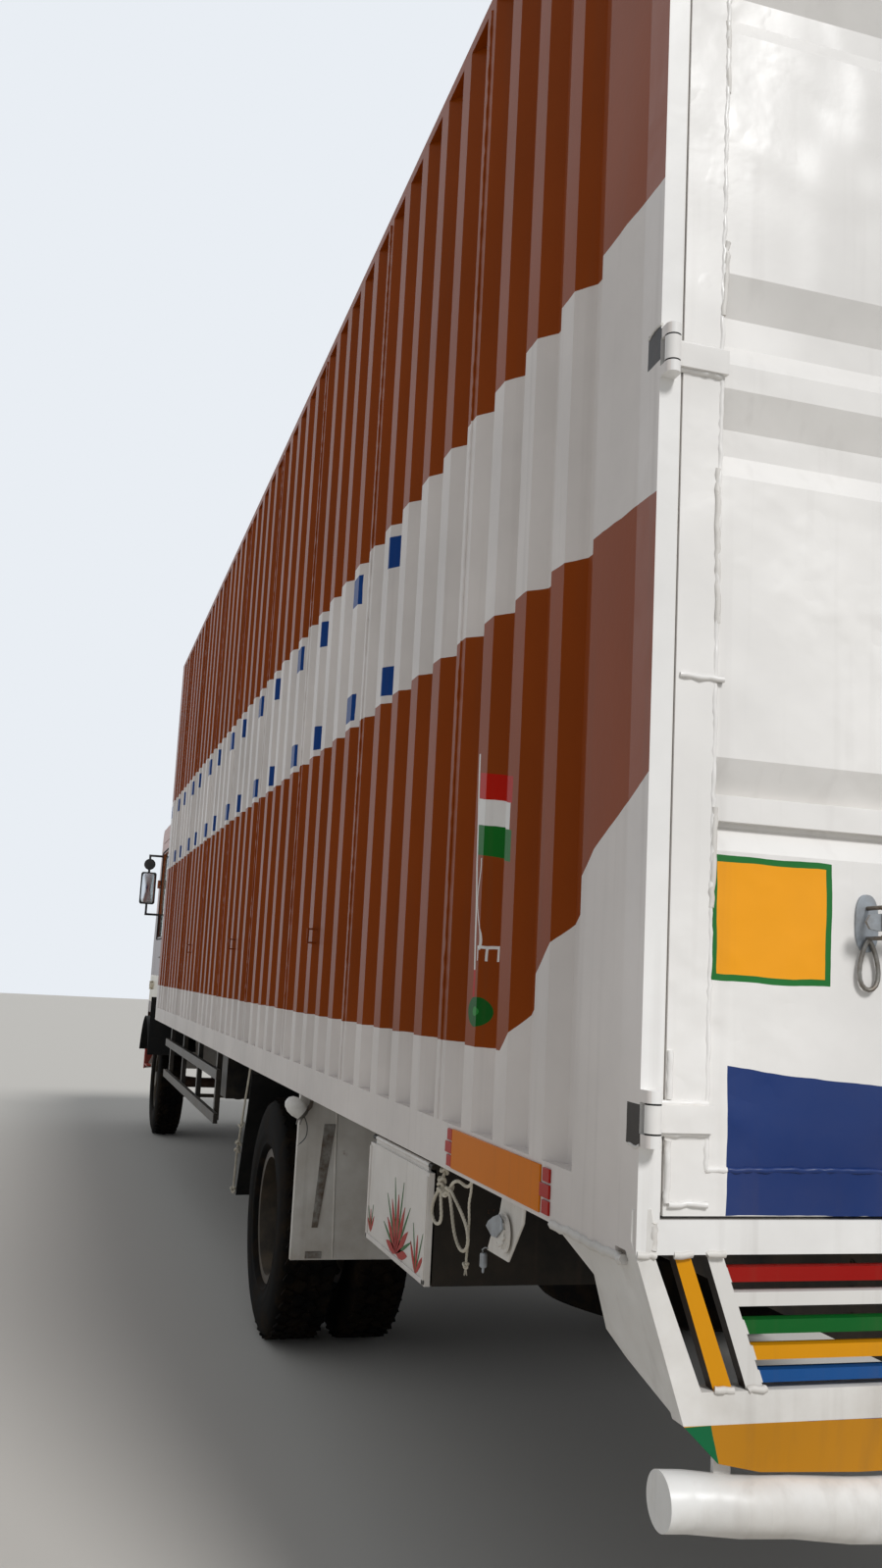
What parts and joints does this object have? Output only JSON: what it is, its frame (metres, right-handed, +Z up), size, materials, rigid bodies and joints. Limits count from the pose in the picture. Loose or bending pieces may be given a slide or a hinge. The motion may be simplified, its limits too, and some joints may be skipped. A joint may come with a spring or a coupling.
{
  "type": "decorated container truck",
  "caption": "Long rigid truck with a closed corrugated steel cargo body, painted tail, swinging rear doors, cab doors, steered front wheels and twin rear wheels",
  "frame": {"origin": "on the ground, under the middle of the truck's overall box", "axes": "+X is the truck's right, +Y is forward along its length, +Z is up"},
  "size_m": [2.64, 12.056, 4.19],
  "materials": {
    "body_paint_brown": "dark brown enamel over pressed steel sheet, faded and lightly scratched",
    "body_paint_white": "white enamel, dusty, with scuffs and rust at the seams",
    "cab_paint": "orange-brown enamel, the lower side cream, slightly glossy",
    "chassis_paint": "black chassis paint, matt with road dust",
    "axle_paint": "black paint over cast and pressed steel, greasy and dusty",
    "spring_steel": "dark rolled spring steel, rusty at the edges",
    "cast_block": "grey cast iron",
    "tyre_rubber": "black tyre rubber, dusty",
    "rim_paint": "red enamel on pressed steel rims",
    "exhaust_steel": "rusty heat-browned sheet steel",
    "tank_paint": "black painted sheet steel",
    "floor_steel": "worn dark floor plate on painted bearers",
    "tail_paint": "white enamel on the sheet, orange-yellow on the strip",
    "bars_paint": "red, green, yellow and blue enamel bars",
    "rod_steel": "bare steel rods with brown rust spots",
    "mudguard_rubber": "black rubber sheet and painted arch",
    "guard_paint": "off-white enamel on steel channel",
    "glass_clear": "clear tempered glass, slightly green",
    "grille_plastic": "black moulded grille",
    "bumper_paint": "red enamel bumper with a white edge",
    "lamp_plastic": "clear and red lamp lenses",
    "mirror_housing": "black housings with silvered faces and black arms",
    "seat_fabric": "dark red patterned seat cloth over foam",
    "wheel_plastic": "black moulded steering wheel"
  },
  "bodies": {
    "truck": {"chassis_frame": "chassis_paint", "leaf_springs": "spring_steel", "rear_axle": "axle_paint", "front_axle": "axle_paint", "spare_wheel": "tyre_rubber", "engine_block": "cast_block", "prop_shaft": "axle_paint", "exhaust": "exhaust_steel", "fuel_tank": "tank_paint", "battery_and_air_tanks": "tank_paint", "cargo_floor": "floor_steel", "left_side": "body_paint_brown", "right_side": "body_paint_brown", "front_wall": "body_paint_brown", "roof": "body_paint_brown", "rear_frame": "body_paint_white", "tail_frame": "tail_paint", "tail_bars": "bars_paint", "bumper_tube": "body_paint_white", "rear_mud_panels": "body_paint_white", "front_mudguards": "mudguard_rubber", "tool_box": "tank_paint", "side_guards": "guard_paint", "cab_floor": "cab_paint", "cab_roof": "cab_paint", "cab_rear": "cab_paint", "cab_front": "cab_paint", "windscreen": "glass_clear", "grille": "grille_plastic", "front_bumper": "bumper_paint", "lamps": "lamp_plastic", "mirrors": "mirror_housing", "seats": "seat_fabric", "steering_wheel": "wheel_plastic"},
    "rear_door_left": {"rear_door_left": "body_paint_white", "lock_gear_left": "rod_steel"},
    "rear_door_right": {"rear_door_right": "body_paint_white", "lock_gear_right": "rod_steel"},
    "cab_door_left": {"cab_door_left": "cab_paint", "door_glass_left": "glass_clear"},
    "cab_door_right": {"cab_door_right": "cab_paint", "door_glass_right": "glass_clear"},
    "tool_box_lid": {"tool_box_lid": "body_paint_white"},
    "knuckle_left": {"knuckle_left": "axle_paint"},
    "knuckle_right": {"knuckle_right": "axle_paint"},
    "track_rod": {"track_rod": "axle_paint"},
    "front_wheel_left": {"front_tyre_left": "tyre_rubber", "front_rim_left": "rim_paint"},
    "front_wheel_right": {"front_tyre_right": "tyre_rubber", "front_rim_right": "rim_paint"},
    "rear_wheels_left": {"rear_tyres_left": "tyre_rubber", "rear_rims_left": "rim_paint"},
    "rear_wheels_right": {"rear_tyres_right": "tyre_rubber", "rear_rims_right": "rim_paint"}
  },
  "joints": [
    {"name": "rear_door_left_hinge", "type": "hinge", "parent": "truck", "child": "rear_door_left", "pos_m": [-1.206, -5.992, 2.645], "axis": [0, 0, -1], "range_deg": [0, 255]},
    {"name": "rear_door_right_hinge", "type": "hinge", "parent": "truck", "child": "rear_door_right", "pos_m": [1.206, -5.992, 2.645], "axis": [0, 0, 1], "range_deg": [0, 255]},
    {"name": "cab_door_left_hinge", "type": "hinge", "parent": "truck", "child": "cab_door_left", "pos_m": [-1.145, 5.598, 1.85], "axis": [0, 0, -1], "range_deg": [0, 65]},
    {"name": "cab_door_right_hinge", "type": "hinge", "parent": "truck", "child": "cab_door_right", "pos_m": [1.145, 5.598, 1.85], "axis": [0, 0, 1], "range_deg": [0, 65]},
    {"name": "tool_box_lid_hinge", "type": "hinge", "parent": "truck", "child": "tool_box_lid", "pos_m": [-1.208, -4.4895, 1.068], "axis": [0, 1, 0], "range_deg": [0, 95]},
    {"name": "steer_left", "type": "hinge", "parent": "truck", "child": "knuckle_left", "pos_m": [-0.85, 4.928, 0.492], "axis": [0, 0, 1], "range_deg": [-35, 35]},
    {"name": "steer_right", "type": "hinge", "parent": "truck", "child": "knuckle_right", "pos_m": [0.85, 4.928, 0.492], "axis": [0, 0, 1], "range_deg": [-35, 35]},
    {"name": "track_rod_pivot", "type": "hinge", "parent": "knuckle_left", "child": "track_rod", "pos_m": [-0.85, 4.748, 0.369], "axis": [0, 0, 1], "range_deg": [-35, 35]},
    {"name": "front_wheel_left_spin", "type": "hinge", "parent": "knuckle_left", "child": "front_wheel_left", "pos_m": [-0.97, 4.928, 0.492], "axis": [1, 0, 0], "continuous": true},
    {"name": "front_wheel_right_spin", "type": "hinge", "parent": "knuckle_right", "child": "front_wheel_right", "pos_m": [0.97, 4.928, 0.492], "axis": [1, 0, 0], "continuous": true},
    {"name": "rear_wheels_left_spin", "type": "hinge", "parent": "truck", "child": "rear_wheels_left", "pos_m": [-0.9, -2.132, 0.492], "axis": [1, 0, 0], "continuous": true},
    {"name": "rear_wheels_right_spin", "type": "hinge", "parent": "truck", "child": "rear_wheels_right", "pos_m": [0.9, -2.132, 0.492], "axis": [1, 0, 0], "continuous": true}
  ],
  "couplings": [
    {"joint": "steer_right", "follows": "steer_left", "ratio": 1},
    {"joint": "track_rod_pivot", "follows": "steer_left", "ratio": -1}
  ]
}
